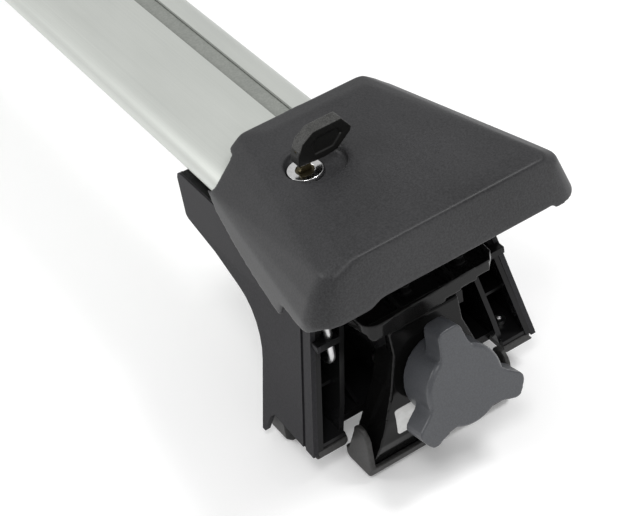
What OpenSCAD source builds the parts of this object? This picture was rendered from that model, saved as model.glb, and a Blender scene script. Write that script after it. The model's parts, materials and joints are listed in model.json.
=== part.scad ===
// Roof rack crossbar: an aluminium wing bar with a T-slot, carried at each end
// by a moulded foot with a lockable lid, a swinging clamp arm and a hand knob.
// Frame: X along the bar, Y across it, Z up, origin under the middle of the bar.
// Each foot is drawn in a frame of its own: X points out of the bar's end and
// X = 0 is the front edge of the foot's legs.

/* [Bar] */
// Length of the aluminium bar
bar_len = 1000; // [700:10:1300]
// Width of the bar on the side of its long, thin edge
bar_back_w = 55.5; // [52:0.5:56]
// Width of the bar on the side of its round nose
bar_nose_w = 25; // [22:1:30]
// Thickness of the bar above its widest line
bar_top_h = 16; // [14:0.5:17]
// Thickness of the bar under its widest line
bar_low_h = 12; // [10:0.5:13]
// Height of the bar's widest line over the ground
bar_z = 138.5; // [138:0.5:140]
// Place of the bar's thickest line across the foot
bar_y = -1.5; // [-2:0.5:0]
// Wall of the extrusion
bar_wall = 2.2; // [1.8:0.1:2.6]
// Opening of the T-slot
slot_w = 11; // [10:0.5:12]
// Width of the T-slot under its lips
slot_inner_w = 21; // [19:0.5:24]
// Depth of the T-slot under its lips
slot_d = 7; // [6:0.5:8]
// Thickness of the slot's lips
lip_t = 2.4; // [2:0.1:3]

/* [Foot] */
// How far the foot reaches out past the bar's end
bar_setback = 58; // [54:1:62]
// Half of the foot's width at the front of its soles
leg_half_w = 74; // [72:1:78]
// Lean of the side walls in degrees
wall_lean = 11.3; // [9:0.1:12]
// Thickness of the side walls
wall_t = 3.2; // [2.8:0.1:4]
// Height of the soles over the ground
sole_z = 22; // [20:1:25]
// Depth of the foot from its front edge to its back wall
leg_depth = 52; // [48:1:56]
// Reach of the saddle under the bar, from the front edge
saddle_reach = 136; // [130:1:142]
// Width of a sole, across the car
sole_w = 22; // [20:1:22]
// Thickness of a rubber sole
sole_t = 5; // [4:0.5:6]

/* [Lid] */
// Length of the lid in front of the legs
lid_front = 43; // [41:1:48]
// Length of the lid behind the front edge of the legs
lid_back = 97; // [95:0.5:99]
// Place of the lid's middle across the foot
lid_y = 1.5; // [0.5:0.5:2.5]
// Half of the lid's width at its outer end
lid_half_w = 81.5; // [80:0.5:84]
// Half of the lid's width at its inner end
lid_inner_half_w = 65; // [64:0.5:67]
// Height of the lid's ridge at its outer end
lid_top_z = 174; // [173:1:178]
// Height of the lid's panel at its inner end
lid_inner_z = 167; // [166:0.5:168]
// Wall of the lid
lid_wall = 2.8; // [2.4:0.1:3.2]
// Travel of the lid from shut to open in degrees
lid_travel = 60; // [40:5:60]

/* [Lock] */
// Outer diameter of the lock's face ring
lock_d = 19; // [17:0.5:20]
// Diameter of the turning plug
plug_d = 10; // [9:0.5:11]
// Diameter of the dish round the lock
dish_d = 33; // [30:1:35]
// Depth of the dish
dish_h = 5; // [4:0.5:6]

/* [Clamp] */
// Place of the clamp and its knob across the foot
clamp_y = -3; // [-4:0.5:4]
// Half of the clamp arm's width at its pivot
arm_top_half_w = 22; // [20:1:24]
// Half of the clamp arm's width at its jaw
arm_low_half_w = 44; // [40:1:45]
// Thickness of the clamp arm's metal
arm_t = 3; // [2.5:0.1:3.5]
// Diameter of the arm's pivot pin
pin_d = 8; // [7:0.5:9]
// Tilt of the knob's axis over the horizontal in degrees
knob_tilt = 14; // [12:1:16]
// Radius of the knob's hub
hub_r = 23; // [21:0.5:24]
// Radius to the tips of the knob's three wings
wing_r = 36; // [34:0.5:39]
// Depth of the knob
knob_h = 25; // [22:0.5:26]
// Diameter of the clamp's threaded stud
stud_d = 8; // [7:0.5:9]

/* [Hidden] */

eps = 0.05;          // overcut of a cutting shape past a face
seat_gap = 0.3;      // gap at a seat that carries a load
run_gap = 0.05;      // radial clearance of a pin or shaft that turns
big = 400;           // reach of a cut right through

foot_x = bar_len / 2 + bar_setback;
bar_top_z = bar_z + bar_top_h;
bar_low_z = bar_z - bar_low_h;

// Outline of the bar, grown by g: four quarter superellipses that meet at the
// widest line and over the slot.
bar_power = 0.86;    // squareness of the outline, 1 is an ellipse
bar_steps = 44;
function signed_power(v, p) = sign(v) * pow(abs(v), p);
function bar_outline(g = 0) = [
    for (i = [0 : bar_steps - 1])
        let (a = 360 * i / bar_steps, c = cos(a), s = sin(a))
            [bar_y + (c > 0 ? bar_nose_w + g : bar_back_w + g) * signed_power(c, bar_power),
             bar_z + (s > 0 ? bar_top_h + g : bar_low_h + g) * signed_power(s, bar_power)]
];

// Turns a drawing in the Y-Z plane into a solid along X, from x0 to x1.
module along_x(x0, x1) {
    translate([x0, 0, 0]) rotate([90, 0, 90]) linear_extrude(x1 - x0) children();
}
// Turns a drawing in the X-Z plane into a solid along Y, from y0 to y1.
module along_y(y0, y1) {
    translate([0, y1, 0]) rotate([90, 0, 0]) linear_extrude(y1 - y0) children();
}
// Draws its child at both sides of the foot.
module both_sides() {
    children();
    mirror([0, 1, 0]) children();
}
// Places a foot's piece at one end of the bar: side is 1 or -1.
module at_end(side) {
    mirror([side < 0 ? 1 : 0, 0, 0]) translate([foot_x, 0, 0]) children();
}

// A flat plate in the X-Y plane with rounded corners.
module rounded_rect(size, r) {
    translate([r, r]) offset(r) square([size[0] - 2 * r, size[1] - 2 * r]);
}

// Hexagon socket screw pointing down: its head's underside is at z = 0.
module socket_screw(d, length, head_d, head_h, socket) {
    difference() {
        union() {
            cylinder(h = head_h, d = head_d, $fn = 16);
            translate([0, 0, -length]) cylinder(h = length + eps, d = d, $fn = 16);
        }
        translate([0, 0, head_h * 0.4]) cylinder(h = head_h, d = socket, $fn = 6);
    }
}

// Bar
web_t = 1.8;                        // inner webs of the extrusion
slot_floor_z = bar_top_z - lip_t - slot_d;
bolt_x = [-78, -108];               // bolts that hold the bar, in the foot's frame
bolt_d = 6;

module bar_shell() {
    difference() {
        along_x(-bar_len / 2, bar_len / 2) polygon(bar_outline());
        along_x(-bar_len / 2 - 1, bar_len / 2 + 1) difference() {
            polygon(bar_outline(-bar_wall));
            // T-slot's own walls and the two webs that carry them
            translate([bar_y - slot_inner_w / 2 - web_t, slot_floor_z - web_t])
                square([slot_inner_w + 2 * web_t, slot_d + web_t + lip_t + 2]);
            for (s = [-1, 1])
                translate([bar_y + s * (slot_inner_w / 2 + web_t / 2) - web_t / 2, bar_low_z])
                    square([web_t, bar_top_h + bar_low_h]);
        }
        along_x(-bar_len / 2 - 1, bar_len / 2 + 1) {
            translate([bar_y - slot_w / 2, slot_floor_z]) square([slot_w, slot_d + lip_t + 2]);
            translate([bar_y - slot_inner_w / 2, slot_floor_z]) square([slot_inner_w, slot_d]);
        }
    }
}

module crossbar() {
    color("silver") difference() {
        bar_shell();
        for (side = [-1, 1], x = bolt_x)
            at_end(side) translate([x, bar_y, bar_low_z - 1])
                cylinder(h = bar_wall + 3, d = bolt_d + 0.6, $fn = 16);
    }
}

strip_sink = 2.2;                   // how far the strip lies under the lips' top
hinge_x = -lid_back + 4;                      // the lid's hinge, in the foot's frame
block_len = 16;
strip_end = foot_x + hinge_x - block_len / 2 - 1;
module slot_strip() {
    head_z = slot_floor_z + seat_gap;
    color("dimgray") along_x(-strip_end, strip_end) {
        translate([bar_y - slot_inner_w / 2 + 1, head_z]) square([slot_inner_w - 2, 2.5]);
        translate([bar_y - slot_w / 2 + 0.4, head_z])
            square([slot_w - 0.8, bar_top_z - strip_sink - head_z]);
    }
}

// Foot body: two side walls that lean in and then stand upright, a saddle under
// the bar, a back wall, two box legs, and brackets for the clamp's pivot and nut.
wall_top_z = bar_low_z + 3.5;
wall_bend_z = 97;                   // the side walls stand upright above this
saddle_x0 = -saddle_reach;
saddle_x1 = -bar_setback + 1;
saddle_t = 5;
back_t = 3;
back_x = -leg_depth + 6;            // front face of the back wall
web_foot_y = leg_half_w - sole_w;   // foot of the inner, slanted web
web_head_y = leg_half_w - 38;       // head of the inner web, under the ledge
arm_pivot = [2, 86];                // clamp arm's pivot in X and Z
pivot_web_y = arm_top_half_w + 0.6; // inside of the brackets that hold the pivot pin
lug_t = 4;
stud_axis = [cos(knob_tilt), sin(knob_tilt)];
seat_point = [22.5, 58];            // where the knob bears on the arm, X and Z
nut_reach = 34;                     // from the seat back to the trunnion nut
nut_point = seat_point - nut_reach * stud_axis;
nut_d = 12;
nut_half_w = 18;
slot_travel = 4;                    // free height of the nut's slot, each way
tray_z = 99;                        // underside of the tray's front part
ledge_z = tray_z + 6 - seat_gap;    // top of the ledges that carry the tray
toe_z = 7;                          // the walls' inner toes reach down to here
tool_d = 4.5;                       // hexagon key kept in the near leg
tool_at = [-5, -(leg_half_w - 24)];
tool_bend_r = 8;
tool_low_z = 72;
// Clips of the key: x, lies along X or not, z, half length in X, half height
tool_clips = [[tool_at[0], 0, 90, 4, 2], [-32, 1, tool_low_z, 2, 5]];

// Half the width of the foot at a height, outside the side walls.
function wall_y(z) = leg_half_w - (min(z, wall_bend_z) - sole_z) * tan(wall_lean);

// Outline of a side wall as seen from the side.
module wall_outline() {
    polygon(concat(
        [[0, sole_z], [-leg_depth + 12, sole_z + 2], [-leg_depth + 8, sole_z - 2],
         [-leg_depth + 3, toe_z], [-leg_depth, toe_z], [-leg_depth - 1, 52]],
        [for (i = [0 : 6]) let (a = 75 * i / 6)
            [-leg_depth - 1 - 34 * (1 - cos(a)), 52 + 34 * sin(a)]],
        [[-104, 92], [saddle_x0 + 2, 97], [saddle_x0, 99], [saddle_x0, wall_top_z - 5],
         [saddle_x0 + 1.5, wall_top_z - 1.5], [saddle_x0 + 5, wall_top_z],
         [-11, wall_top_z], [-7, wall_bend_z]]));
}

// Cross-section of the near side wall, t thick.
module wall_section(t) {
    polygon([
        [-wall_y(0), 0], [-wall_y(wall_bend_z), wall_bend_z], [-wall_y(200), 200],
        [-wall_y(200) + t, 200], [-wall_y(wall_bend_z) + t, wall_bend_z], [-wall_y(0) + t, 0]]);
}

module side_wall() {
    intersection() {
        along_y(-100, 0) wall_outline();
        along_x(-200, 20) wall_section(wall_t);
    }
    // Thick edge along the front of the leg
    intersection() {
        along_y(-100, 0) polygon([[0, sole_z + 2], [-6, sole_z + 2], [-13, wall_bend_z + 4],
                                  [-8, wall_bend_z + 4]]);
        along_x(-200, 20) wall_section(wall_t + 3);
    }
}

module leg_box() {
    floor_z = sole_z + 2;
    // Slanted inner web
    intersection() {
        along_x(back_x - 1, -4) polygon([
            [-web_foot_y, floor_z], [-web_foot_y - 3, floor_z],
            [-web_head_y - 3, ledge_z], [-web_head_y, ledge_z]]);
        along_y(-100, 0) polygon([[back_x - 2, 0], [-3, 0], [-3, floor_z + 8], [-8, tray_z - 5],
                                  [-15, tray_z - 5], [-15, 200], [back_x - 2, 200]]);
    }
    // Floor over the sole
    along_x(back_x - 1, -1) polygon([
        [-web_foot_y, floor_z], [-wall_y(floor_z) + 1, floor_z],
        [-wall_y(floor_z + 3) + 1, floor_z + 3], [-web_foot_y - 0.5, floor_z + 3]]);
    // Ledge that carries the tray
    along_x(back_x - 1, -14) translate([-wall_y(ledge_z) + 1, ledge_z - 3])
        square([wall_y(ledge_z) - web_head_y + 3, 3]);
    // Ribs across the box: one level, one slanted
    along_x(back_x - 1, -14) polygon([
        [-wall_y(52) + 1, 52], [-wall_y(54) + 1, 54], [-web_foot_y + 5, 54], [-web_foot_y + 4.5, 52]]);
    along_x(back_x - 1, -16) polygon([
        [-wall_y(70) + 1, 70], [-wall_y(72) + 1, 72.5], [-web_head_y - 3, 98], [-web_head_y - 3, 95.5]]);
    // Clips that hold the hexagon key
    for (c = tool_clips)
        difference() {
            along_x(c[0] - c[3], c[0] + c[3]) translate([-wall_y(c[2]) + 1, c[2] - c[4]])
                square([wall_y(c[2]) - 1 + tool_at[1] + tool_d / 2 + 2, 2 * c[4]]);
            if (c[1] == 0) translate([tool_at[0], tool_at[1], c[2] - 10])
                cylinder(h = 20, d = tool_d + 0.5, $fn = 16);
            else translate([c[0] - 10, tool_at[1], tool_low_z]) rotate([0, 90, 0])
                cylinder(h = 20, d = tool_d + 0.5, $fn = 16);
        }
}

module back_wall() {
    // Wall across the foot behind the clamp
    low = sole_z + 2;
    along_x(back_x - back_t, back_x) polygon([
        [-wall_y(low) + 1, low], [-wall_y(wall_bend_z) + 1, wall_bend_z],
        [-wall_y(wall_bend_z) + 1, bar_low_z - 4], [wall_y(wall_bend_z) - 1, bar_low_z - 4],
        [wall_y(wall_bend_z) - 1, wall_bend_z], [wall_y(low) - 1, low]]);
}

module cross_floor() {
    // Floor from leg to leg, level with the soles, with a turned-down front edge
    w = web_foot_y + 1;
    along_y(-w, w) translate([back_x - 1, sole_z + 2]) square([-12.5 - back_x + 1, 3]);
    along_y(-w + 1.5, w - 1.5) translate([-15, sole_z]) square([2.5, 4]);
    for (y = [-36, -12, 12, 36])
        along_y(y - 1, y + 1) polygon([
            [back_x - 1, sole_z + 4], [-14, sole_z + 4], [-14, sole_z + 7], [back_x - 1, sole_z + 24]]);
}

module saddle() {
    // Cradle under the bar between the two side walls, hollow beside the nose
    half = wall_y(wall_bend_z) - 1;
    difference() {
        along_x(saddle_x0 + 4, saddle_x1) translate([-half, bar_low_z - saddle_t])
            square([2 * half, wall_top_z - bar_low_z + saddle_t]);
        along_x(saddle_x0 - 5, saddle_x1 + 5) polygon(bar_outline(seat_gap));
        along_x(saddle_x0 + 8, saddle_x1 + 5)
            translate([bar_y + bar_nose_w + 2, bar_low_z - saddle_t + 3])
                square([half - bar_y - bar_nose_w - 5, 20]);
    }
    // Two keels under the cradle
    for (y = [-30, 27])
        along_y(y, y + 3) polygon([[saddle_x0 + 6, bar_low_z - saddle_t + 1], [saddle_x0 + 10, 104],
                                   [-92, 100], [back_x - 1, 96], [back_x - 1, bar_low_z - saddle_t + 1]]);
}

module pivot_brackets() {
    for (s = [-1, 1])
        along_y(clamp_y + s * (pivot_web_y + lug_t / 2) - lug_t / 2,
                clamp_y + s * (pivot_web_y + lug_t / 2) + lug_t / 2)
            polygon([[back_x - 1, arm_pivot[1] + 8], [arm_pivot[0] + 4, arm_pivot[1] + 8],
                     [arm_pivot[0] + 8, arm_pivot[1] + 4], [arm_pivot[0] + 8, arm_pivot[1] - 4],
                     [arm_pivot[0] + 4, arm_pivot[1] - 8], [arm_pivot[0] - 6, arm_pivot[1] - 8],
                     [back_x - 1, arm_pivot[1] - 22]]);
}

module nut_guides() {
    // Two upright cheeks on the back wall with slots for the nut's trunnions
    for (s = [-1, 1])
        along_y(clamp_y + s * (nut_half_w - 4) - 3, clamp_y + s * (nut_half_w - 4) + 3)
            difference() {
                polygon([[back_x - 1, nut_point[1] + 24], [back_x - 1, 43],
                         [nut_point[0] - 4, nut_point[1] - 14],
                         [nut_point[0] + 10, nut_point[1] - 14],
                         [nut_point[0] + 10, nut_point[1] + 14],
                         [nut_point[0] + 4, nut_point[1] + 20]]);
                for (dz = [-slot_travel, slot_travel])
                    translate([nut_point[0], nut_point[1] + dz])
                        circle(d = nut_d + 2 * seat_gap, $fn = 16);
                translate([nut_point[0] - nut_d / 2 - seat_gap, nut_point[1] - slot_travel])
                    square([nut_d + 2 * seat_gap, 2 * slot_travel]);
            }
}

front_groove_w = 2.4;               // groove down the side walls near their front edge
module foot_body() {
    color([0.16, 0.16, 0.17]) difference() {
        union() {
            both_sides() {
                side_wall();
                leg_box();
            }
            back_wall();
            cross_floor();
            nut_guides();
            pivot_brackets();
            saddle();
        }
        // Pivot pin's bore
        translate([arm_pivot[0], clamp_y - pivot_web_y - lug_t - 1, arm_pivot[1]])
            rotate([-90, 0, 0])
                cylinder(h = 2 * (pivot_web_y + lug_t + 1), d = pin_d, $fn = 16);
        // Bolt holes under the bar
        for (x = bolt_x)
            translate([x, bar_y, bar_low_z - 20]) cylinder(h = 40, d = bolt_d + 0.6, $fn = 16);
        // Groove down each side wall, and the screw holes of soles and tray
        both_sides() {
            intersection() {
                along_y(-100, 0) polygon([[-8.5, 0], [-6, 0], [-14, wall_bend_z], [-16.5, wall_bend_z]]);
                along_x(-200, 20) wall_section(1);
            }
            translate([sole_hole[0], sole_hole[1], 0]) cylinder(h = 40, d = 4, $fn = 16);
            for (x = tray_screw_x)
                translate([x, -tray_screw_y, ledge_z - 10]) cylinder(h = 20, d = 4.4, $fn = 16);
        }
    }
}

// Rubber under the foot
sole_hole = [-16, -(leg_half_w - sole_w / 2 - 1.5)];
pad_w = 20;                         // blocks inside the rail: width and length
pad_len = 16;
pad_x0 = -leg_depth - 3;
sole_len = -(pad_x0 + pad_len + 5);
module sole_pads() {
    y0 = -leg_half_w + wall_t + 0.8;
    z1 = sole_z + 2 - 0.1;
    color([0.2, 0.2, 0.2]) both_sides() difference() {
        along_x(-sole_len, 0) polygon([
            [y0, z1 - sole_t + 1.5], [y0, z1], [-web_foot_y, z1], [-web_foot_y, z1 - sole_t + 1.5],
            [-web_foot_y - 2, z1 - sole_t], [y0 - 2, z1 - sole_t]]);
        translate([sole_hole[0], sole_hole[1], 0]) cylinder(h = 40, d = 3.4, $fn = 16);
    }
}

module sole_screws() {
    color("gray") both_sides()
        translate([sole_hole[0], sole_hole[1], sole_z + 5 + 0.1])
            socket_screw(3.2, 6.5, 7, 2.6, 3);
}

module rail_pads() {
    // Blocks that stand on the inside of the roof rail, with grip grooves
    y0 = leg_half_w - wall_t - 0.8;
    x0 = pad_x0;
    color([0.18, 0.18, 0.18]) both_sides() difference() {
        along_x(x0, x0 + pad_len) polygon([
            [-y0, 3], [-y0, sole_z + 1.8], [-y0 + pad_w, sole_z + 1.8], [-y0 + pad_w, 3],
            [-y0 + pad_w - 3, 0], [-y0 + 3, 0]]);
        for (i = [1 : 3])
            translate([x0 + i * pad_len / 4 - 0.6, -y0 - 1, -1])
                cube([1.2, pad_w + 2, 2]);
    }
}

// Front tray: cross member in front of the bar's end, seen under the lid
tray_half_w = 42;
tray_y = 2;                         // the tray's place across the foot
tray_x0 = back_x + 1;
tray_x1 = 18.5;
tray_screw_x = [back_x + 7, -22];
tray_screw_y = 41;
catch_at = [-24, -27];              // post of the lock's catch
module tray_plan() {
    r = 9;
    polygon(concat(
        [[tray_x0, tray_y - tray_half_w - 3], [tray_x1 - 30, tray_y - tray_half_w - 3]],
        [for (i = [0 : 4]) let (a = 22.5 * i - 90)
            [tray_x1 - r + r * cos(a), tray_y - tray_half_w + r + r * sin(a)]],
        [[tray_x1 - 4, tray_y + tray_half_w - 5], [tray_x1 - 9, tray_y + tray_half_w],
         [tray_x1 - 30, tray_y + tray_half_w + 1], [tray_x0, tray_y + tray_half_w + 1]]));
}
module front_tray() {
    lip_top = tray_z + 6;
    color([0.1, 0.1, 0.1]) difference() {
        intersection() {
            union() {
                along_y(-60, 60) polygon([
                    [tray_x0, tray_z + 6], [tray_x0, tray_z + 9], [-12, tray_z + 9], [-7, tray_z + 3],
                    [tray_x1 - 5, tray_z + 3], [tray_x1 - 4, lip_top], [tray_x1, lip_top],
                    [tray_x1 + 1, tray_z - 2], [tray_x1 - 2, tray_z - 5], [tray_x1 - 5, tray_z],
                    [-9, tray_z], [-14, tray_z + 6]]);
                // Ribs and low end walls
                for (y = [tray_y - tray_half_w, -18, 16, tray_y + tray_half_w - 3])
                    along_y(y, y + 2.5) polygon([
                        [-14, tray_z + 8], [-13, tray_z + 11], [tray_x1 - 4, lip_top],
                        [tray_x1 - 3, tray_z + 2], [-8, tray_z + 2]]);
                // Two upright bosses
                for (y = [-6, 28]) translate([2, y, tray_z + 1]) cylinder(h = 7, d = 7, $fn = 16);
            }
            translate([0, 0, 80]) linear_extrude(50) tray_plan();
        }
        for (x = tray_screw_x, y = [-tray_screw_y, tray_screw_y])
            translate([x, y, tray_z]) cylinder(h = 30, d = 4.4, $fn = 16);
        translate([catch_at[0] + 6, catch_at[1], tray_z]) cylinder(h = 30, d = 3.2, $fn = 16);
    }
}

module tray_screws() {
    color("gray") for (x = tray_screw_x, y = [-tray_screw_y, tray_screw_y])
        translate([x, y, tray_z + 9 + 0.1]) socket_screw(4, 6, 7, 3, 3);
}

// Fastening of the bar
module nut_plate() {
    z0 = bar_low_z + bar_wall + seat_gap;
    color("gray") difference() {
        translate([bolt_x[1] - 9, bar_y - 7, z0]) cube([bolt_x[0] - bolt_x[1] + 18, 14, 4]);
        for (x = bolt_x) translate([x, bar_y, z0 - 1]) cylinder(h = 8, d = bolt_d, $fn = 16);
    }
}

module bar_bolts() {
    color("gray") for (x = bolt_x)
        translate([x, bar_y, bar_low_z - saddle_t - 0.1]) mirror([0, 0, 1])
            socket_screw(bolt_d, saddle_t + bar_wall + 4.5, 10, 5, 5);
}

// Lid hinge: a block in the bar's slot carries the pin
hinge_z = bar_top_z + 5;
hinge_d = 4;
hinge_r = 3.2;
block_w = slot_w - 0.8;
module hinge_block() {
    z0 = slot_floor_z + seat_gap;
    color("gray") difference() {
        union() {
            translate([hinge_x - block_len / 2, bar_y - slot_inner_w / 2 + 0.5, z0])
                cube([block_len, slot_inner_w - 1, slot_d - 2 * seat_gap]);
            translate([hinge_x - hinge_r, bar_y - block_w / 2, z0])
                cube([2 * hinge_r, block_w, hinge_z - z0]);
            translate([hinge_x, bar_y + block_w / 2, hinge_z]) rotate([90, 0, 0])
                cylinder(h = block_w, r = hinge_r, $fn = 16);
        }
        translate([hinge_x, bar_y + block_w, hinge_z]) rotate([90, 0, 0])
            cylinder(h = 2 * block_w, d = hinge_d, $fn = 16);
    }
}

ear_t = 5;
ear_y = block_w / 2 + 0.6;          // inside of the lid's ears, from the slot's middle
module hinge_pin() {
    color("silver") translate([hinge_x, bar_y + ear_y + ear_t + 1, hinge_z]) rotate([90, 0, 0])
        cylinder(h = 2 * (ear_y + ear_t + 1), d = hinge_d, $fn = 16);
}

// Lid
skirt_low_z = 113;
corner_r = 14;
function lid_z_at(x) = lid_inner_z + (lid_top_z - lid_inner_z) * (x + lid_back) / (lid_back + lid_front);

// Two corners of the lid's outline: thin discs of radius r whose outer edges
// reach the points x, -y and x, y, both moved across by dy.
module corner_disc(x, y, z, r, g, dy = 0) {
    for (s = [-1, 1])
        translate([x > 0 ? x - r - g : x + r + g, lid_y + dy + s * (y - r - g), z - 0.4 - g])
            cylinder(h = 0.4, r = r, $fn = 16);
}

// The lid's solid form, shrunk by g on every side.
module lid_form(g) {
    hull() {
        corner_disc(-lid_back + 14, lid_inner_half_w - 32, lid_inner_z, 5, g, 4);
        corner_disc(lid_front - 2.5, lid_half_w - 23, lid_top_z - 0.5, 6, g, 3);
        corner_disc(-lid_back + 1, lid_inner_half_w - 25, lid_inner_z - 3, 4, g, 1.5);
        corner_disc(-lid_back, lid_inner_half_w - 15, lid_inner_z - 11, 4, g, 1.5);
        corner_disc(lid_front - 2, lid_half_w - 12, lid_top_z - 7, 9, g, 1);
        corner_disc(lid_front - 1, lid_half_w - 6, lid_top_z - 20, 12, g);
        corner_disc(-lid_back, lid_inner_half_w - 3, lid_inner_z - 25, 3, g);
        corner_disc(lid_front, lid_half_w - 1.5, lid_top_z - 32, corner_r, g);
        corner_disc(-lid_back, lid_inner_half_w, skirt_low_z, 3, g);
        corner_disc(lid_front, lid_half_w, skirt_low_z, corner_r, g);
    }
}

// What is cut away under the lid, seen from the side: the skirt is deep beside
// the bar's end, steps up in front of the legs and rises to the front.
module skirt_cut() {
    along_y(-big, big) polygon([
        [-lid_back - 5, 0], [-lid_back - 5, lid_inner_z - 22], [-lid_back + 12, lid_inner_z - 34],
        [-60, 127], [-32, 123.5], [-8, 121], [-4, 121.5], [1, 131], [6, 132], [20, 132.5],
        [30, 135], [lid_front - 5, 140], [lid_front + 5, 140.5], [lid_front + 5, 0]]);
}

lock_at = [-43.5, -27];
dish_at = lock_at + [2, 5.5];
lock_top_z = lid_z_at(lock_at[0]) - dish_h + 1.2;
housing_len = 20;

module lid() {
    color([0.2, 0.2, 0.21]) difference() {
        union() {
            difference() {
                lid_form(0);
                lid_form(lid_wall);
                // Open inner end over the bar, with a notch round the hinge block
                translate([-lid_back - 1, lid_y - lid_inner_half_w + 4, 0])
                    cube([lid_wall + 6, 2 * lid_inner_half_w - 8, bar_top_z + 3]);
                translate([-lid_back - 1, bar_y - block_w / 2 - 0.7, 0])
                    cube([lid_wall + 6, block_w + 1.4, hinge_z + hinge_r + 0.4]);
                // Raised stretch of the front edge, between the two corner tabs
                along_x(lid_front - 14, lid_front + 5) polygon([
                    [-54, 0], [-51, 139], [-40, 144], [62, 144], [64, 141.5], [100, 141.5], [100, 0]]);
            }
            // Ears of the hinge
            intersection() {
                for (s = [-1, 1])
                    translate([hinge_x, bar_y + (s > 0 ? ear_y + ear_t : -ear_y), 0])
                        rotate([90, 0, 0]) linear_extrude(ear_t) {
                            translate([0, hinge_z]) circle(r = 4, $fn = 16);
                            translate([-4, hinge_z]) square([8, 20]);
                        }
                lid_form(1);
            }
            // Cup round the lock
            intersection() {
                translate([dish_at[0], dish_at[1], lid_z_at(lock_at[0]) - dish_h - 3])
                    cylinder(h = 30, d = dish_d + 5, $fn = 24);
                lid_form(0.3);
            }
            translate([lock_at[0], lock_at[1], lock_top_z - 14])
                cylinder(h = 12, d = lock_d + 5, $fn = 16);
        }
        skirt_cut();
        along_x(-lid_back - 5, -60) polygon(bar_outline(1.2));
        // Finger dish and the lock's bore
        translate([dish_at[0], dish_at[1], lid_z_at(lock_at[0]) - dish_h])
            cylinder(h = 40, d = dish_d, $fn = 24);
        translate([lock_at[0], lock_at[1], lock_top_z - 30])
            cylinder(h = 60, d = lock_d + 2 * run_gap, $fn = 24);
        // Hinge pin's bore
        translate([hinge_x, bar_y + ear_y + ear_t + 5, hinge_z]) rotate([90, 0, 0])
            cylinder(h = 2 * (ear_y + ear_t + 5), d = hinge_d + 2 * run_gap, $fn = 16);
    }
}

// Lock
module lock_housing() {
    color("silver") translate([lock_at[0], lock_at[1], lock_top_z - housing_len]) difference() {
        union() {
            cylinder(h = housing_len - 2, d = lock_d - 2, $fn = 24);
            translate([0, 0, housing_len - 14]) cylinder(h = 14, d = lock_d, $fn = 24);
        }
        translate([0, 0, -1]) cylinder(h = housing_len + 2, d = plug_d + 2 * run_gap, $fn = 24);
    }
}

key_t = 2.2;
key_w = 7;
module lock_plug() {
    color([0.2, 0.18, 0.12]) translate([lock_at[0], lock_at[1], lock_top_z - housing_len - 1]) difference() {
        cylinder(h = housing_len + 0.4, d = plug_d, $fn = 24);
        translate([-key_t / 2 - key_gap, -key_w / 2 - key_gap, 3])
            cube([key_t + 2 * key_gap, key_w + 2 * key_gap, housing_len]);
        translate([0, 0, -1]) cylinder(h = 3.6, d = 3, $fn = 16);
    }
}

cam_z = lock_top_z - housing_len - 1;
cam_len = 17;
module lock_cam() {
    color("silver") translate([lock_at[0], lock_at[1], cam_z - 2]) difference() {
        union() {
            cylinder(h = 2, d = plug_d + 3, $fn = 16);
            translate([-4, -cam_len + 4, 0]) cube([8, cam_len - 4, 2]);
            translate([0, -cam_len + 4, 0]) cylinder(h = 2, d = 8, $fn = 16);
        }
        translate([0, 0, -1]) cylinder(h = 4, d = 3.4, $fn = 16);
    }
}

module cam_screw() {
    color("gray") translate([lock_at[0], lock_at[1], cam_z - 2 - 0.1]) mirror([0, 0, 1])
        socket_screw(2.9, 4, 6, 2, 2.5);
}

key_in = 17;
key_gap = 0.1;                      // free play round the blade
module key_blade() {
    color([0.35, 0.3, 0.15]) translate([lock_at[0], lock_at[1], 0]) difference() {
        translate([-key_t / 2, -key_w / 2, lock_top_z - key_in + 1]) cube([key_t, key_w, key_in + 12]);
        // Cuts along the blade's edge
        for (i = [0 : 6])
            translate([0, -key_w / 2, lock_top_z - key_in + 3.5 + i * 3]) rotate([45, 0, 0])
                cube([6, 1.5, 1.5], center = true);
    }
}

module key_bow() {
    // Moulded head: flat plate that reaches to one side of the blade
    color([0.12, 0.12, 0.12]) translate([lock_at[0], lock_at[1], lock_top_z]) difference() {
        along_x(-4, 4) polygon([
            [-5, 5.5], [-4.5, 11], [-1, 18], [6, 22.5], [23, 22.5], [28, 15], [27, 12.5],
            [18, 5.5], [10, 4.5]]);
        translate([-key_t / 2 - key_gap / 2, -key_w / 2 - key_gap / 2, 0])
            cube([key_t + key_gap, key_w + key_gap, 13.1]);
        // Shallow recess on each broad side
        for (s = [-1, 1])
            along_x(s > 0 ? 3.4 : -5, s > 0 ? 5 : -3.4) polygon([
                [5, 8.5], [4, 14], [8, 18], [20, 18], [22, 14], [16, 8.5]]);
    }
}

// Hooked catch for the cam, standing on the tray
module lock_catch() {
    z0 = tray_z + 9 + 0.1;
    color("gray") translate([catch_at[0], catch_at[1], 0]) {
        translate([-1.5, -5, z0]) cube([3, 10, cam_z - z0 + 2.6]);
        translate([-7, -5, cam_z + 0.6]) cube([7, 10, 2]);
        translate([-1.5, -5, z0]) cube([12, 10, 2.5]);
        translate([6, 0, z0 - 2.8]) cylinder(h = 3, d = 3, $fn = 16);
    }
}

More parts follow.
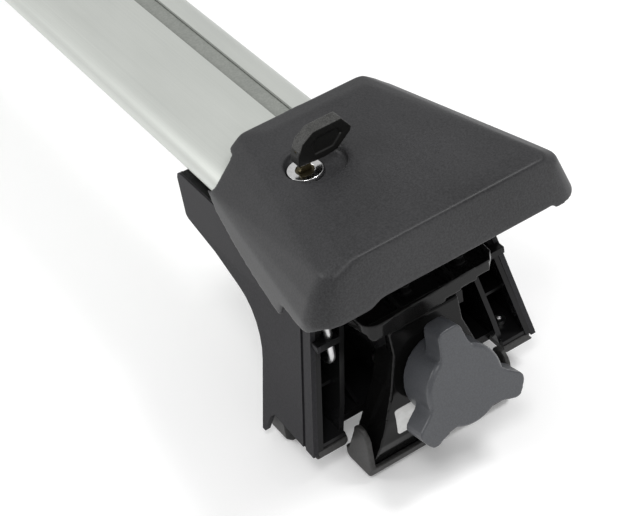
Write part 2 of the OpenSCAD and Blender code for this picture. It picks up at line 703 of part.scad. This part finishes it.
// Clamp arm: a pressed channel, drawn from its side and its front
arm_low = [13.5, 5];                // outer, lower corner of the arm
arm_back = [for (p = [[-5, 83], [-1, 62], [-1.5, 38], [-3, 22], [-6, 14]]) p];
arm_front_line = [[19, 24], [19.5, 38], [17.5, 55], [13, 90], [9, 92.5]];
module arm_side(g) {
    // g draws the channel's inside: its front face moves in, its back moves out
    polygon(concat(
        [[arm_pivot[0], arm_pivot[1] + 6.5 - 1.5 * g]],
        [for (p = arm_back) p - [6 * (g > 0 ? 1 : 0), 0]],
        [[arm_low[0] - 20 - (g > 0 ? 6 : 0), arm_low[1] + g],
         [arm_low[0] - 1 - g, arm_low[1] + g], [arm_low[0] + 1 - g, arm_low[1] + 6]],
        [for (p = arm_front_line) p - [g, 0]]));
}
module arm_front(g) {
    polygon([
        [-arm_top_half_w + g, 200], [-arm_top_half_w + g, 76], [-arm_top_half_w - 6 + g, 56],
        [-arm_low_half_w + 4 + g, 26], [-arm_low_half_w + g, 12], [-arm_low_half_w + g, -5],
        [arm_low_half_w - g, -5], [arm_low_half_w - g, 12], [arm_low_half_w - 4 - g, 26],
        [arm_top_half_w + 6 - g, 56], [arm_top_half_w - g, 76], [arm_top_half_w - g, 200]]);
}
module clamp_arm() {
    color([0.08, 0.08, 0.08]) translate([0, clamp_y, 0]) difference() {
        union() {
            difference() {
                intersection() {
                    along_y(-100, 100) arm_side(0);
                    along_x(-60, 60) arm_front(0);
                }
                intersection() {
                    along_y(-100, 100) arm_side(arm_t);
                    along_x(-60, 60) arm_front(arm_t);
                }
            }
            translate([arm_pivot[0], arm_top_half_w, arm_pivot[1]]) rotate([90, 0, 0])
                cylinder(h = 2 * arm_top_half_w, d = pin_d + 6, $fn = 16);
            // Boss that the knob bears on
            translate([seat_point[0], 0, seat_point[1]]) rotate([0, 90 - knob_tilt, 0])
                translate([0, 0, -10]) cylinder(h = 8, d = 26, $fn = 16);
        }
        translate([arm_pivot[0], arm_top_half_w + 1, arm_pivot[1]]) rotate([90, 0, 0])
            cylinder(h = 2 * arm_top_half_w + 2, d = pin_d + 2 * run_gap, $fn = 16);
        translate([seat_point[0], 0, seat_point[1]]) rotate([0, 90 - knob_tilt, 0])
            translate([0, 0, -40]) cylinder(h = 60, d = stud_d + 2 * run_gap, $fn = 16);
    }
}

module arm_pin() {
    half = pivot_web_y + lug_t;
    color("silver") translate([arm_pivot[0], clamp_y + half, arm_pivot[1]]) rotate([90, 0, 0])
        cylinder(h = 2 * half, d = pin_d, $fn = 16);
}

// Rubber boot on the jaw, with a cheek that rises at each end
boot_t = 3;
module jaw_boot() {
    half = arm_low_half_w + boot_t + 0.2;
    low = arm_low[1] - boot_t - 0.2;
    x0 = arm_low[0] - 20;
    color([0.22, 0.22, 0.22]) translate([0, clamp_y, 0]) difference() {
        union() {
            along_y(-half, half) polygon([
                [arm_low[0] + 1, low + 1], [arm_low[0] - 1, low], [x0, low], [x0 - 2, low + 2],
                [x0 - 2, low + 8], [arm_low[0] + 4, low + 8]]);
            for (s = [-1, 1])
                along_y(s > 0 ? half - boot_t : -half, s > 0 ? half : -half + boot_t)
                    polygon(concat(
                        [[x0 - 2, low + 2], [x0, low], [arm_low[0] - 1, low], [arm_low[0] + 4, low + 8]],
                        [for (i = [0 : 5]) let (a = 36 * i)
                            [arm_low[0] - 3 + 7 * cos(a), low + 28 + 7 * sin(a)]]));
        }
        intersection() {
            along_y(-100, 100) offset(delta = 0.15) arm_side(0);
            along_x(-60, 60) offset(delta = 0.15) arm_front(0);
        }
        translate([-30, -half + boot_t + 2, arm_low[1] + arm_t]) cube([42, 2 * half - 2 * boot_t - 4, 30]);
    }
}

// Stud, nut and knob, drawn along the stud's axis with z = 0 at the knob's seat
module on_stud() {
    translate([seat_point[0], clamp_y, seat_point[1]]) rotate([0, 90 - knob_tilt, 0]) children();
}

stud_tail = 14;
module clamp_stud() {
    color("silver") on_stud() translate([0, 0, -nut_reach - stud_tail])
        cylinder(h = nut_reach + stud_tail + knob_h - 8, d = stud_d, $fn = 16);
}

washer_t = 1.6;
module knob_washer() {
    color("silver") on_stud() translate([0, 0, -washer_t - 0.15]) difference() {
        cylinder(h = washer_t, d = 20, $fn = 16);
        translate([0, 0, -1]) cylinder(h = 4, d = stud_d, $fn = 16);
    }
}

wing_at = 2;                        // where the first wing points, from straight up
module knob() {
    tip_w = 6.5;                    // half of a wing's width at its tip
    color([0.33, 0.34, 0.36]) on_stud() difference() {
        union() {
            cylinder(h = knob_h - 1.5, r = hub_r, $fn = 36);
            translate([0, 0, knob_h - 1.5]) cylinder(h = 1.5, r1 = hub_r, r2 = hub_r - 1.5, $fn = 36);
            for (k = [0 : 2]) rotate([0, 0, 180 + wing_at + 120 * k]) translate([0, 0, 10]) {
                linear_extrude(knob_h - 10) polygon([
                    [0, -12], [hub_r - 4, -10.5], [hub_r + 1, -8.5], [wing_r - 3, -tip_w - 0.5],
                    [wing_r - 0.8, -tip_w + 1], [wing_r, -tip_w + 3.5], [wing_r, tip_w - 3.5],
                    [wing_r - 0.8, tip_w - 1], [wing_r - 3, tip_w + 0.5], [hub_r + 1, 8.5],
                    [hub_r - 4, 10.5], [0, 12]]);
            }
        }
        // Stud's bore
        translate([0, 0, -1]) cylinder(h = knob_h - 8 + 1, d = stud_d, $fn = 16);
    }
}

module trunnion_nut() {
    color("silver") translate([nut_point[0], clamp_y, nut_point[1]]) difference() {
        translate([0, nut_half_w, 0]) rotate([90, 0, 0])
            cylinder(h = 2 * nut_half_w, d = nut_d, $fn = 16);
        rotate([0, 90 - knob_tilt, 0]) translate([0, 0, -20])
            cylinder(h = 40, d = stud_d + 2 * run_gap, $fn = 16);
    }
}

// Hexagon key kept inside the near leg: a bent rod made of two arms and an elbow
module hex_key() {
    color("silver") translate([tool_at[0], tool_at[1], tool_low_z]) {
        translate([0, 0, tool_bend_r]) cylinder(h = 26, d = tool_d, $fn = 16);
        translate([-tool_bend_r, 0, tool_bend_r]) rotate([90, 0, 0])
            rotate([0, 0, -90]) rotate_extrude(angle = 90, $fn = 24)
                translate([tool_bend_r, 0]) circle(d = tool_d, $fn = 16);
        translate([-tool_bend_r - 24, 0, 0]) rotate([0, 90, 0]) cylinder(h = 24, d = tool_d, $fn = 16);
    }
}

crossbar();
slot_strip();
at_end(1) foot_body();  // right_foot_body
at_end(-1) foot_body();  // left_foot_body
at_end(1) rail_pads();  // right_rail_pads
at_end(-1) rail_pads();  // left_rail_pads
at_end(1) sole_pads();  // right_sole_pads
at_end(-1) sole_pads();  // left_sole_pads
at_end(1) sole_screws();  // right_sole_screws
at_end(-1) sole_screws();  // left_sole_screws
at_end(1) front_tray();  // right_front_tray
at_end(-1) front_tray();  // left_front_tray
at_end(1) tray_screws();  // right_tray_screws
at_end(-1) tray_screws();  // left_tray_screws
at_end(1) nut_plate();  // right_nut_plate
at_end(-1) nut_plate();  // left_nut_plate
at_end(1) bar_bolts();  // right_bar_bolts
at_end(-1) bar_bolts();  // left_bar_bolts
at_end(1) hinge_block();  // right_hinge_block
at_end(-1) hinge_block();  // left_hinge_block
at_end(1) hinge_pin();  // right_hinge_pin
at_end(-1) hinge_pin();  // left_hinge_pin
at_end(1) lid();  // right_lid
at_end(-1) lid();  // left_lid
at_end(1) lock_housing();  // right_lock_housing
at_end(-1) lock_housing();  // left_lock_housing
at_end(1) lock_plug();  // right_lock_plug
at_end(-1) lock_plug();  // left_lock_plug
at_end(1) lock_cam();  // right_lock_cam
at_end(-1) lock_cam();  // left_lock_cam
at_end(1) cam_screw();  // right_cam_screw
at_end(-1) cam_screw();  // left_cam_screw
at_end(1) key_blade();  // right_key_blade
at_end(-1) key_blade();  // left_key_blade
at_end(1) key_bow();  // right_key_bow
at_end(-1) key_bow();  // left_key_bow
at_end(1) lock_catch();  // right_lock_catch
at_end(-1) lock_catch();  // left_lock_catch
at_end(1) clamp_arm();  // right_clamp_arm
at_end(-1) clamp_arm();  // left_clamp_arm
at_end(1) arm_pin();  // right_arm_pin
at_end(-1) arm_pin();  // left_arm_pin
at_end(1) jaw_boot();  // right_jaw_boot
at_end(-1) jaw_boot();  // left_jaw_boot
at_end(1) clamp_stud();  // right_clamp_stud
at_end(-1) clamp_stud();  // left_clamp_stud
at_end(1) knob();  // right_knob
at_end(-1) knob();  // left_knob
at_end(1) knob_washer();  // right_knob_washer
at_end(-1) knob_washer();  // left_knob_washer
at_end(1) trunnion_nut();  // right_trunnion_nut
at_end(-1) trunnion_nut();  // left_trunnion_nut
at_end(1) hex_key();  // right_hex_key
at_end(-1) hex_key();  // left_hex_key
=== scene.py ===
# The roof rack crossbar's looks: materials, soft edges, blank labels, camera, floor and light.
import json
import math

import bmesh
import bpy
from mathutils import Matrix, Vector


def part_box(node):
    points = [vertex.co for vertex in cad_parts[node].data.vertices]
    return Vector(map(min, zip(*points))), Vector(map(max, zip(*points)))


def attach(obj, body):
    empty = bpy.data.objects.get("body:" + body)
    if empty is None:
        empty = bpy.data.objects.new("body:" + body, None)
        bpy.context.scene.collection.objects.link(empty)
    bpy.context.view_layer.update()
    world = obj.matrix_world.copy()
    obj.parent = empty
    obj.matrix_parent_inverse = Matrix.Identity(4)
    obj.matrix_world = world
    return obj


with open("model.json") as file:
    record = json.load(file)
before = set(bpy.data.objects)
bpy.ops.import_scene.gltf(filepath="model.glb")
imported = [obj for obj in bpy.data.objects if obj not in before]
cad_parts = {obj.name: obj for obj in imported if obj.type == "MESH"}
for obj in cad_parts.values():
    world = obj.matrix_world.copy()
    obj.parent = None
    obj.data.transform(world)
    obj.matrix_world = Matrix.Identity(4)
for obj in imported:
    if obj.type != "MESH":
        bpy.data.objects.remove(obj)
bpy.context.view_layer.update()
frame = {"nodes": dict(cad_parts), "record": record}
nodes = frame["nodes"]
scene = bpy.context.scene

# The foot's outside, in metres
FOOT_X = 0.558          # front edge of the right foot's legs
SOLE_Z = 0.022          # lower end of the leaning side walls
BEND_Z = 0.097          # where the side walls turn upright
WALL_Y = 0.074          # outside of a side wall at SOLE_Z, from the middle
WALL_LEAN = 0.19985     # how far a side wall leans inward, per height
SKIN_DEPTH = 0.0013     # the grain reaches this deep into a wall's outside
EDGE_DEPTH = 0.003      # and this deep on a wall's front edge

FINE_SHARE = 0.65       # fine grain in a plastic's tone; broad clouds make up the rest
ROUGH_SPREAD = 0.16     # how much the clouds change a plastic's roughness
GRAIN_DETAIL = (3.0, 0.6)
CLOUD_DETAIL = (3.0, 0.5)
GRIT_DETAIL = (4.0, 0.6)


# ---------------------------------------------------------------- node helpers
def new_material(name):
    m = bpy.data.materials.new(name)
    m.use_nodes = True
    nt = m.node_tree
    nt.nodes.clear()
    out = nt.nodes.new("ShaderNodeOutputMaterial")
    bsdf = nt.nodes.new("ShaderNodeBsdfPrincipled")
    nt.links.new(bsdf.outputs[0], out.inputs[0])
    return m, nt, bsdf


def add(nt, kind, **props):
    n = nt.nodes.new(kind)
    for k, v in props.items():
        setattr(n, k, v)
    return n


def math_node(nt, op, a, b=None, clamp=False):
    """One math node; a and b are numbers or sockets."""
    n = add(nt, "ShaderNodeMath", operation=op, use_clamp=clamp)
    for i, v in enumerate((a, b)):
        if v is None:
            continue
        if isinstance(v, (int, float)):
            n.inputs[i].default_value = v
        else:
            nt.links.new(v, n.inputs[i])
    return n.outputs[0]


def scaled(nt, value, factor, offset):
    """value * factor + offset."""
    return math_node(nt, "ADD", math_node(nt, "MULTIPLY", value, factor), offset)


def blend(nt, a, b, share):
    """share of a, and the rest of b."""
    return math_node(nt, "ADD", math_node(nt, "MULTIPLY", a, share),
                     math_node(nt, "MULTIPLY", b, 1 - share))


def coords(nt, scale=(1, 1, 1)):
    tc = add(nt, "ShaderNodeTexCoord")
    mp = add(nt, "ShaderNodeMapping")
    mp.inputs["Scale"].default_value = scale
    nt.links.new(tc.outputs["Object"], mp.inputs["Vector"])
    return mp.outputs["Vector"]


def split_coords(nt):
    """The x, y and z of the object coordinates, and those of the normal."""
    tc = add(nt, "ShaderNodeTexCoord")
    parts = []
    for output in ("Object", "Normal"):
        sep = add(nt, "ShaderNodeSeparateXYZ")
        nt.links.new(tc.outputs[output], sep.inputs[0])
        parts.append(sep.outputs)
    return parts


def noise(nt, vec, scale, detail, rough):
    n = add(nt, "ShaderNodeTexNoise")
    n.inputs["Scale"].default_value = scale
    n.inputs["Detail"].default_value = detail
    n.inputs["Roughness"].default_value = rough
    nt.links.new(vec, n.inputs["Vector"])
    return n.outputs["Fac"]


def ramp(nt, fac, *stops):
    """A colour ramp with two stops, each a position and a colour."""
    r = add(nt, "ShaderNodeValToRGB")
    for element, (position, colour) in zip(r.color_ramp.elements, stops):
        element.position = position
        element.color = (*colour, 1)
    nt.links.new(fac, r.inputs[0])
    return r.outputs[0]


def bump(nt, bsdf, height, strength, distance):
    b = add(nt, "ShaderNodeBump")
    b.inputs["Strength"].default_value = strength
    b.inputs["Distance"].default_value = distance
    nt.links.new(height, b.inputs["Height"])
    nt.links.new(b.outputs[0], bsdf.inputs["Normal"])


def mixed(nt, fac, a, b):
    """Colour a where fac is 0, colour b where it is 1."""
    m = add(nt, "ShaderNodeMix", data_type="RGBA")
    nt.links.new(fac, m.inputs[0])
    nt.links.new(a, m.inputs[6])
    nt.links.new(b, m.inputs[7])
    return m.outputs[2]


def finish_surface(nt, bsdf, colour, rough, specular=None):
    """Links colour and roughness to the shader and sets its specular level."""
    nt.links.new(colour, bsdf.inputs["Base Color"])
    nt.links.new(rough, bsdf.inputs["Roughness"])
    if specular is not None:
        bsdf.inputs["Specular IOR Level"].default_value = specular


# ---------------------------------------------------------------- materials
def grained_plastic(name, dark, light, rough, grain, depth=0.00012, strength=0.35, gloss=0.35):
    """Moulded plastic with a fine spark-eroded grain and faint broad tone changes."""
    m, nt, b = new_material(name)
    v = coords(nt)
    fine = noise(nt, v, grain, *GRAIN_DETAIL)
    broad = noise(nt, v, 18.0, *CLOUD_DETAIL)
    colour = ramp(nt, blend(nt, fine, broad, FINE_SHARE), (0.36, dark), (0.64, light))
    finish_surface(nt, b, colour, scaled(nt, broad, ROUGH_SPREAD, rough - ROUGH_SPREAD / 2), gloss)
    bump(nt, b, fine, strength, depth)
    return m


def key_plastic():
    """Black key head: dark flat faces, lighter on the upward-facing faces of the upper half of its
    rim.
    """
    m, nt, b = new_material("key_head")
    place, normal = split_coords(nt)
    low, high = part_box("right_key_bow")
    upper = math_node(nt, "GREATER_THAN", place[2], (low[2] + high[2]) / 2)
    rim = math_node(nt, "MULTIPLY", math_node(nt, "GREATER_THAN", normal[2], 0.2), upper)
    grit = noise(nt, coords(nt), 1400.0, 4.0, 0.7)
    black = ramp(nt, grit, (0.3, (0.003, 0.003, 0.003)), (0.7, (0.009, 0.009, 0.008)))
    # A lighter colour on the upward-facing faces of the upper half of the rim
    upper_rim_colour = ramp(nt, grit, (0.35, (0.014, 0.014, 0.013)), (0.65, (0.075, 0.075, 0.072)))
    finish_surface(nt, b, mixed(nt, rim, black, upper_rim_colour), scaled(nt, grit, 0.3, 0.3), 0.3)
    bump(nt, b, grit, 0.4, 0.00015)
    return m


def gloss_plastic(name, colour, rough):
    """Smooth black surface with slight flow marks and a few dull patches."""
    m, nt, b = new_material(name)
    v = coords(nt)
    waves = noise(nt, v, 30.0, 2.0, 0.4)
    patch = noise(nt, v, 9.0, *GRIT_DETAIL)
    dull = tuple(c * 1.9 + 0.002 for c in colour)
    finish_surface(nt, b, ramp(nt, patch, (0.35, colour), (0.75, dull)),
                   scaled(nt, patch, 0.18, rough - 0.05), 0.2)
    bump(nt, b, waves, 0.25, 0.0004)
    return m


def body_material():
    """Grained outside of the side walls and their front edges; the inside is smooth and black."""
    m, nt, b = new_material("foot_plastic")
    place, normal = split_coords(nt)
    # Distance from the leaning outside of the nearer wall, negative within it
    y = math_node(nt, "ABSOLUTE", place[1])
    z = math_node(nt, "MINIMUM", place[2], BEND_Z)
    lean = math_node(nt, "MULTIPLY", math_node(nt, "SUBTRACT", z, SOLE_Z), WALL_LEAN)
    face = math_node(nt, "SUBTRACT", math_node(nt, "ADD", y, lean), WALL_Y)
    outside = math_node(nt, "GREATER_THAN", face, -SKIN_DEPTH)
    edge = math_node(nt, "GREATER_THAN", face, -EDGE_DEPTH)
    outward = math_node(nt, "MULTIPLY", normal[0], math_node(nt, "SIGN", place[0]))
    front = math_node(nt, "GREATER_THAN", outward, 0.5)
    mask = math_node(nt, "MAXIMUM", outside, math_node(nt, "MULTIPLY", edge, front))

    v = coords(nt)
    fine = noise(nt, v, 900.0, *GRAIN_DETAIL)
    broad = noise(nt, v, 16.0, *CLOUD_DETAIL)
    grained = ramp(nt, blend(nt, fine, broad, FINE_SHARE),
                   (0.3, (0.012, 0.012, 0.0135)), (0.7, (0.03, 0.029, 0.032)))
    gloss = ramp(nt, broad, (0.35, (0.006, 0.006, 0.006)), (0.75, (0.014, 0.014, 0.015)))
    rough = math_node(nt, "ADD", math_node(nt, "MULTIPLY", mask, 0.36),
                      scaled(nt, broad, ROUGH_SPREAD, 0.13))
    finish_surface(nt, b, mixed(nt, mask, gloss, grained), rough, 0.15)
    bump(nt, b, math_node(nt, "MULTIPLY", fine, mask), 0.35, 0.00012)
    return m


def aluminium():
    """Satin anodised extrusion: very fine draw lines along the bar."""
    m, nt, b = new_material("anodised_bar")
    lines = noise(nt, coords(nt, (0.6, 260.0, 260.0)), 8.0, 5.0, 0.6)
    cloud = noise(nt, coords(nt, (2.0, 8.0, 8.0)), 6.0, *CLOUD_DETAIL)
    colour = ramp(nt, blend(nt, lines, cloud, 0.5),
                  (0.3, (0.54, 0.56, 0.53)), (0.7, (0.63, 0.65, 0.615)))
    finish_surface(nt, b, colour, scaled(nt, lines, 0.12, 0.36))
    b.inputs["Metallic"].default_value = 0.55
    bump(nt, b, lines, 0.12, 0.0001)
    return m


def metal(name, colour, rough):
    """Plain metal with slightly darker spots."""
    m, nt, b = new_material(name)
    spots = noise(nt, coords(nt), 240.0, *GRIT_DETAIL)
    spotted = ramp(nt, spots, (0.3, tuple(c * 0.8 for c in colour)), (0.7, colour))
    finish_surface(nt, b, spotted, scaled(nt, spots, 0.2, rough))
    b.inputs["Metallic"].default_value = 1.0
    bump(nt, b, spots, 0.1, 0.0001)
    return m


def foil():
    """White label foil without a print: faintly mottled, a little glossy."""
    m, nt, b = new_material("white_foil")
    mottle = noise(nt, coords(nt), 220.0, *GRIT_DETAIL)
    colour = ramp(nt, mottle, (0.3, (0.6, 0.6, 0.585)), (0.7, (0.72, 0.72, 0.71)))
    finish_surface(nt, b, colour, scaled(nt, mottle, 0.2, 0.25), 0.4)
    bump(nt, b, mottle, 0.15, 0.0001)
    return m


# By the material slots of the record
mats = {
    "aluminium": aluminium(),
    # The slot strip's own grey, darkened by half to paint the shade that falls inside the slot
    "strip_rubber": grained_plastic(
        "slot_strip", (0.19, 0.2, 0.185), (0.25, 0.26, 0.24), rough=0.6, grain=700.0),
    "moulded_plastic": body_material(),
    "gloss_plastic": gloss_plastic("tray_gloss", (0.006, 0.006, 0.006), 0.16),
    "textured_plastic": grained_plastic(
        "lid_grain", (0.012, 0.012, 0.013), (0.034, 0.034, 0.036), rough=0.46, grain=1000.0,
        depth=0.00014, strength=0.32),
    "rubber": grained_plastic(
        "rubber", (0.02, 0.0195, 0.019), (0.04, 0.039, 0.038), rough=0.5, grain=500.0,
        depth=0.0002),
    "zinc_steel": metal("zinc_steel", (0.62, 0.62, 0.62), 0.22),
    "chrome": metal("chrome", (0.9, 0.9, 0.9), 0.05),
    "brass": metal("dark_brass", (0.1, 0.085, 0.05), 0.34),
    "key_plastic": key_plastic(),
    "coated_steel": gloss_plastic("coated_steel", (0.004, 0.004, 0.004), 0.1),
    "grey_plastic": grained_plastic(
        "knob_grey", (0.046, 0.048, 0.053), (0.068, 0.071, 0.078), rough=0.3, grain=1100.0,
        depth=0.0001, strength=0.25, gloss=0.5),
}

slot_of = {s["node"]: s["material_slot"] for s in frame["record"]["subparts"]}
for name, obj in nodes.items():
    obj.data.materials.clear()
    obj.data.materials.append(mats[slot_of[name]])
    for p in obj.data.polygons:
        p.material_index = 0
        p.use_smooth = True


# ---------------------------------------------------------------- edges
WELD_DISTANCE = 2e-6
SHARP_ANGLE = math.radians(30)      # edges above it are rounded
CREASE_ANGLE = math.radians(50)     # edges above it keep a crease in the shading
KEPT_FACES = 0.22                   # of a moulded skin, once thinned

# Kinds of node, the same on both feet
MOULD = {  # grid of the skin in metres, smoothing passes
    "lid": (0.0011, 14), "knob": (0.0006, 6), "clamp_arm": (0.0006, 5),
    "jaw_boot": (0.0008, 6), "front_tray": (0.0006, 3), "key_bow": (0.0004, 4),
}
ROUND = {  # width of the bevel in metres, segments
    "foot_body": (0.0006, 2), "rail_pads": (0.0008, 2), "sole_pads": (0.0008, 2),
    "lock_housing": (0.0004, 2), "key_blade": (0.0002, 1), "hinge_block": (0.0004, 2),
    "lock_catch": (0.0003, 2),
}


def join_corners(obj):
    """Joins the imported corners, which come once per face."""
    obj.modifiers.new("join", "WELD").merge_threshold = WELD_DISTANCE


def shade_by_size(obj):
    """Lets large faces lead the shading."""
    n = obj.modifiers.new("shading", "WEIGHTED_NORMAL")
    n.weight = 50
    n.keep_sharp = False


def soften(obj, width=0.0, segments=1):
    """Rounds the sharp edges, where a width is given, and keeps the creases in the shading."""
    join_corners(obj)
    if width:
        b = obj.modifiers.new("soft_edges", "BEVEL")
        b.width = width
        b.segments = segments
        b.limit_method = "ANGLE"
        b.angle_limit = SHARP_ANGLE
        b.use_clamp_overlap = True
    obj.modifiers.new("creases", "EDGE_SPLIT").split_angle = CREASE_ANGLE
    shade_by_size(obj)


def mould(obj, voxel, passes):
    """A fine even skin with relaxed edges, like a moulding, then fewer faces where it is flat."""
    join_corners(obj)
    r = obj.modifiers.new("skin", "REMESH")
    r.mode = "VOXEL"
    r.voxel_size = voxel
    r.use_smooth_shade = True
    m = obj.modifiers.new("relax", "SMOOTH")
    m.factor = 0.5
    m.iterations = passes
    obj.modifiers.new("fewer_faces", "DECIMATE").ratio = KEPT_FACES
    shade_by_size(obj)


for name, obj in nodes.items():
    kind = name.removeprefix("right_").removeprefix("left_")
    if kind in MOULD:
        mould(obj, *MOULD[kind])
    else:
        soften(obj, *ROUND.get(kind, ()))


# ---------------------------------------------------------------- blank labels on the clamp arms
# In millimetres: y and z as in the part, x from the front edge of the legs
LABEL_Y = (-32.0, 3.0)
LABEL_Z = (27.0, 44.0)
LABEL_CORNER = 1.8
LABEL_CUTS = (31.0, 34.5, 38.0, 41.0)       # heights at which the foil can bend
LABEL_BACK, LABEL_FRONT = -0.1, 0.3         # from the arm's face
ARM_LOW = (24, 19)                          # z and x of the arm's face at its lower end
ARM_KNEE = (38, 19.5)                       # and at its bend
ARM_SLOPES = (0.5 / 14, 2 / 17)             # out below the bend, back in above it


def arm_face(z):
    """x of the clamp arm's front face at the height z."""
    if z < ARM_KNEE[0]:
        return ARM_LOW[1] + (z - ARM_LOW[0]) * ARM_SLOPES[0]
    return ARM_KNEE[1] - (z - ARM_KNEE[0]) * ARM_SLOPES[1]


def arm_label(side_name, side, material):
    """A thin plate that follows the bend of the arm's front face; side is 1 right, -1 left."""
    def point(y, z, out):
        return side * (FOOT_X + (arm_face(z) + out) / 1000), y / 1000, z / 1000

    def lift(verts, out):
        for v in verts:
            v.co = Vector(point(v.co.y * 1000, v.co.z * 1000, out))

    low_y, high_y = LABEL_Y[0] + LABEL_CORNER, LABEL_Y[1] - LABEL_CORNER
    low_z, high_z = LABEL_Z[0] + LABEL_CORNER, LABEL_Z[1] - LABEL_CORNER
    outline = []
    for y, z, start in ((high_y, high_z, 0), (low_y, high_z, 90),
                        (low_y, low_z, 180), (high_y, low_z, 270)):
        for k in range(6):
            a = math.radians(start + 18 * k)
            outline.append((y + LABEL_CORNER * math.cos(a), z + LABEL_CORNER * math.sin(a)))

    bm = bmesh.new()
    bm.faces.new([bm.verts.new(point(y, z, 0)) for y, z in outline])
    for z in LABEL_CUTS:
        geom = bm.verts[:] + bm.edges[:] + bm.faces[:]
        bmesh.ops.bisect_plane(bm, geom=geom, plane_co=(0, 0, z / 1000), plane_no=(0, 0, 1))
    lift(bm.verts, LABEL_BACK)
    grown = bmesh.ops.extrude_face_region(bm, geom=bm.faces[:], use_keep_orig=True)["geom"]
    lift((g for g in grown if isinstance(g, bmesh.types.BMVert)), LABEL_FRONT)
    bmesh.ops.recalc_face_normals(bm, faces=bm.faces[:])
    me = bpy.data.meshes.new("arm_label")
    bm.to_mesh(me)
    bm.free()
    me.materials.append(material)
    obj = bpy.data.objects.new(side_name + "_arm_label", me)
    scene.collection.objects.link(obj)
    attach(obj, side_name + "_clamp_group")


white_foil = foil()
arm_label("right", 1, white_foil)
arm_label("left", -1, white_foil)


# ---------------------------------------------------------------- camera, floor, light
# Fitted to the photo from the foot's corners
CAMERA_RIGHT = Vector((0.536836, 0.832155, -0.139014))
CAMERA_DOWN = Vector((0.480649, -0.437072, -0.760227))
CAMERA_AHEAD = Vector((-0.693386, 0.3413, -0.63461))
CAMERA_PLACE = Vector((0.63139 + FOOT_X, -0.35871, 0.70232 + SOLE_Z))
FOCAL_PIXELS = 1855.35
PHOTO_WIDTH = 644
SENSOR_MM = 36.0

FLOOR_GLOW = 0.14       # makes the floor as white as the backdrop where it is seen
SKY_LIGHT = 0.6         # the backdrop as a source of light
SKY_SEEN = 1.0          # and as it is seen
# name, place, what it points at, width, watts
LAMPS = (
    ("key", (-0.3, -1.2, 1.05), (0.55, 0, 0.1), 0.7, 8),
    ("ridge", (0.9, 0.55, 1.4), (0.58, 0, 0.12), 0.35, 8),
    ("front", (1.35, -0.5, 1.5), (0.6, -0.02, 0.05), 0.4, 7),
)


def place_camera():
    cam = bpy.data.cameras.new("camera")
    obj = bpy.data.objects.new("camera", cam)
    scene.collection.objects.link(obj)
    m = Matrix((CAMERA_RIGHT, -CAMERA_DOWN, -CAMERA_AHEAD)).transposed().to_4x4()
    m.translation = CAMERA_PLACE
    obj.matrix_world = m
    cam.sensor_width = SENSOR_MM
    cam.lens = FOCAL_PIXELS / PHOTO_WIDTH * SENSOR_MM
    cam.clip_start = 0.01
    scene.camera = obj


def make_floor():
    bpy.ops.mesh.primitive_plane_add(size=12, location=(0, 0, -0.0002))
    floor = bpy.context.object
    floor.name = "floor"
    m, nt, b = new_material("floor_white")
    b.inputs["Base Color"].default_value = (0.93, 0.93, 0.93, 1)
    b.inputs["Roughness"].default_value = 0.9
    b.inputs["Specular IOR Level"].default_value = 0.0
    # Seen by the camera or in a reflection, the floor is as white as the backdrop
    path = add(nt, "ShaderNodeLightPath")
    seen = math_node(nt, "ADD", path.outputs["Is Camera Ray"], path.outputs["Is Glossy Ray"], True)
    b.inputs["Emission Color"].default_value = (1, 1, 1, 1)
    nt.links.new(math_node(nt, "MULTIPLY", seen, FLOOR_GLOW), b.inputs["Emission Strength"])
    floor.data.materials.append(m)


def make_world():
    world = bpy.data.worlds.new("studio")
    scene.world = world
    world.use_nodes = True
    nt = world.node_tree
    background = nt.nodes["Background"]
    background.inputs[0].default_value = (1, 1, 1, 1)
    path = add(nt, "ShaderNodeLightPath")
    seen = math_node(nt, "MAXIMUM", path.outputs["Is Camera Ray"],
                     path.outputs["Is Transmission Ray"])
    nt.links.new(scaled(nt, seen, SKY_SEEN - SKY_LIGHT, SKY_LIGHT), background.inputs[1])


def lamp(name, place, target, width, watts):
    d = bpy.data.lights.new(name, "AREA")
    d.size = width
    d.energy = watts
    o = bpy.data.objects.new(name, d)
    scene.collection.objects.link(o)
    o.location = place
    o.rotation_euler = (Vector(target) - Vector(place)).to_track_quat("-Z", "Y").to_euler()


place_camera()
make_floor()
make_world()
for row in LAMPS:
    lamp(*row)
scene.view_settings.view_transform = "Standard"
